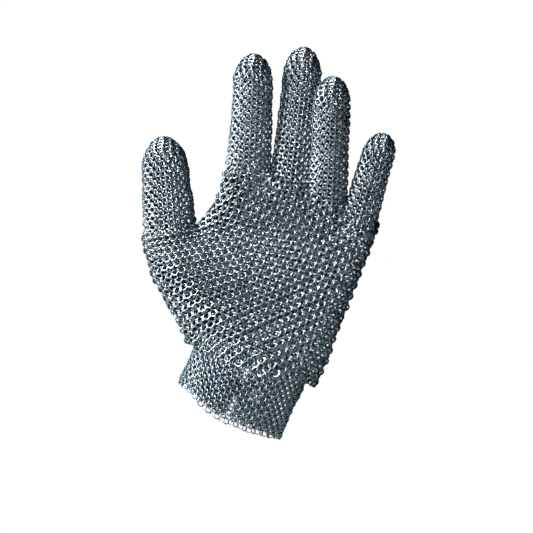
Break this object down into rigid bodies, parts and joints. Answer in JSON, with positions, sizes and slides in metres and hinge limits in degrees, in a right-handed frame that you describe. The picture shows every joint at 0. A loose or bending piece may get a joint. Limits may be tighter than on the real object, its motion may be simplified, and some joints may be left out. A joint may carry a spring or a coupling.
{
  "type": "cut resistant glove",
  "caption": "Steel ring mesh cut resistant glove in its worn shape, with jointed finger and thumb sleeves, a wrist cuff and a strap closed by a press stud.",
  "frame": {"origin": "centre of the wrist opening at the cuff's hem", "axes": "+Z along the wrist towards the fingers, -Y out of the palm side, -X towards the thumb"},
  "size_m": [0.1495, 0.0638, 0.2193],
  "materials": {
    "ring_mesh": "welded stainless steel rings, satin with bright glints",
    "cuff_mesh": "welded stainless steel rings, satin with bright glints",
    "stud_steel": "polished pressed steel"
  },
  "bodies": {
    "cuff": {"cuff_front_panel": "cuff_mesh", "cuff_back_little_side": "cuff_mesh", "cuff_back_thumb_side": "cuff_mesh", "snap_stud": "stud_steel", "snap_post": "stud_steel"},
    "strap": {"closure_strap": "cuff_mesh", "snap_cap": "stud_steel", "snap_socket": "stud_steel"},
    "hand": {"palm_panel": "ring_mesh", "back_panel": "ring_mesh"},
    "index_base": {"index_base_palm_side": "ring_mesh", "index_base_back_side": "ring_mesh"},
    "index_middle": {"index_middle_palm_side": "ring_mesh", "index_middle_back_side": "ring_mesh"},
    "index_tip": {"index_tip_palm_side": "ring_mesh", "index_tip_back_side": "ring_mesh"},
    "middle_base": {"middle_base_palm_side": "ring_mesh", "middle_base_back_side": "ring_mesh"},
    "middle_middle": {"middle_middle_palm_side": "ring_mesh", "middle_middle_back_side": "ring_mesh"},
    "middle_tip": {"middle_tip_palm_side": "ring_mesh", "middle_tip_back_side": "ring_mesh"},
    "ring_base": {"ring_base_palm_side": "ring_mesh", "ring_base_back_side": "ring_mesh"},
    "ring_middle": {"ring_middle_palm_side": "ring_mesh", "ring_middle_back_side": "ring_mesh"},
    "ring_tip": {"ring_tip_palm_side": "ring_mesh", "ring_tip_back_side": "ring_mesh"},
    "little_base": {"little_base_palm_side": "ring_mesh", "little_base_back_side": "ring_mesh"},
    "little_middle": {"little_middle_palm_side": "ring_mesh", "little_middle_back_side": "ring_mesh"},
    "little_tip": {"little_tip_palm_side": "ring_mesh", "little_tip_back_side": "ring_mesh"},
    "thumb_base": {"thumb_base_palm_side": "ring_mesh", "thumb_base_back_side": "ring_mesh"},
    "thumb_tip": {"thumb_tip_palm_side": "ring_mesh", "thumb_tip_back_side": "ring_mesh"}
  },
  "joints": [
    {"name": "wrist", "type": "hinge", "parent": "cuff", "child": "hand", "pos_m": [0, 0, 0.027], "axis": [1, 0, 0], "range_deg": [-25, 25]},
    {"name": "strap_flap", "type": "hinge", "parent": "cuff", "child": "strap", "pos_m": [-0.01747, 0.02249, 0.0125], "axis": [0, 0, 1], "range_deg": [0, 110]},
    {"name": "index_base_fold", "type": "hinge", "parent": "hand", "child": "index_base", "pos_m": [-0.05267, -0.001, 0.14213], "axis": [0.9356, -0.1219, 0.3313], "range_deg": [-8, 60]},
    {"name": "index_middle_fold", "type": "hinge", "parent": "index_base", "child": "index_middle", "pos_m": [-0.05938, -0.00302, 0.16033], "axis": [0.9356, -0.1219, 0.3313], "range_deg": [-8, 65]},
    {"name": "index_tip_fold", "type": "hinge", "parent": "index_middle", "child": "index_tip", "pos_m": [-0.06642, -0.00816, 0.17832], "axis": [0.9356, -0.1219, 0.3313], "range_deg": [-5, 45]},
    {"name": "middle_base_fold", "type": "hinge", "parent": "hand", "child": "middle_base", "pos_m": [-0.0258, 0.0025, 0.14222], "axis": [0.9511, -0.1045, 0.2908], "range_deg": [-8, 60]},
    {"name": "middle_middle_fold", "type": "hinge", "parent": "middle_base", "child": "middle_middle", "pos_m": [-0.03311, 0.0025, 0.16612], "axis": [0.9511, -0.1045, 0.2908], "range_deg": [-8, 65]},
    {"name": "middle_tip_fold", "type": "hinge", "parent": "middle_middle", "child": "middle_tip", "pos_m": [-0.04054, -0.00089, 0.18922], "axis": [0.9511, -0.1045, 0.2908], "range_deg": [-5, 45]},
    {"name": "ring_base_fold", "type": "hinge", "parent": "hand", "child": "ring_base", "pos_m": [-0.00203, -0.0025, 0.14207], "axis": [0.933, -0.0349, 0.3582], "range_deg": [-8, 60]},
    {"name": "ring_middle_fold", "type": "hinge", "parent": "ring_base", "child": "ring_middle", "pos_m": [-0.01031, -0.00937, 0.16296], "axis": [0.933, -0.0349, 0.3582], "range_deg": [-8, 65]},
    {"name": "ring_tip_fold", "type": "hinge", "parent": "ring_middle", "child": "ring_tip", "pos_m": [-0.01809, -0.01908, 0.1823], "axis": [0.933, -0.0349, 0.3582], "range_deg": [-5, 45]},
    {"name": "little_base_fold", "type": "hinge", "parent": "hand", "child": "little_base", "pos_m": [0.02087, -0.003, 0.1424], "axis": [0.9752, 0.1392, 0.172], "range_deg": [-8, 60]},
    {"name": "little_middle_fold", "type": "hinge", "parent": "little_base", "child": "little_middle", "pos_m": [0.01847, -0.00548, 0.15802], "axis": [0.9752, 0.1392, 0.172], "range_deg": [-8, 65]},
    {"name": "little_tip_fold", "type": "hinge", "parent": "little_middle", "child": "little_tip", "pos_m": [0.01674, -0.01015, 0.17164], "axis": [0.9752, 0.1392, 0.172], "range_deg": [-5, 45]},
    {"name": "thumb_base_fold", "type": "hinge", "parent": "hand", "child": "thumb_base", "pos_m": [-0.07878, 0, 0.08504], "axis": [0.6732, 0.6428, 0.3655], "range_deg": [-5, 20]},
    {"name": "thumb_tip_fold", "type": "hinge", "parent": "thumb_base", "child": "thumb_tip", "pos_m": [-0.09095, 0, 0.10745], "axis": [0.6732, 0.6428, 0.3655], "range_deg": [-5, 50]}
  ]
}
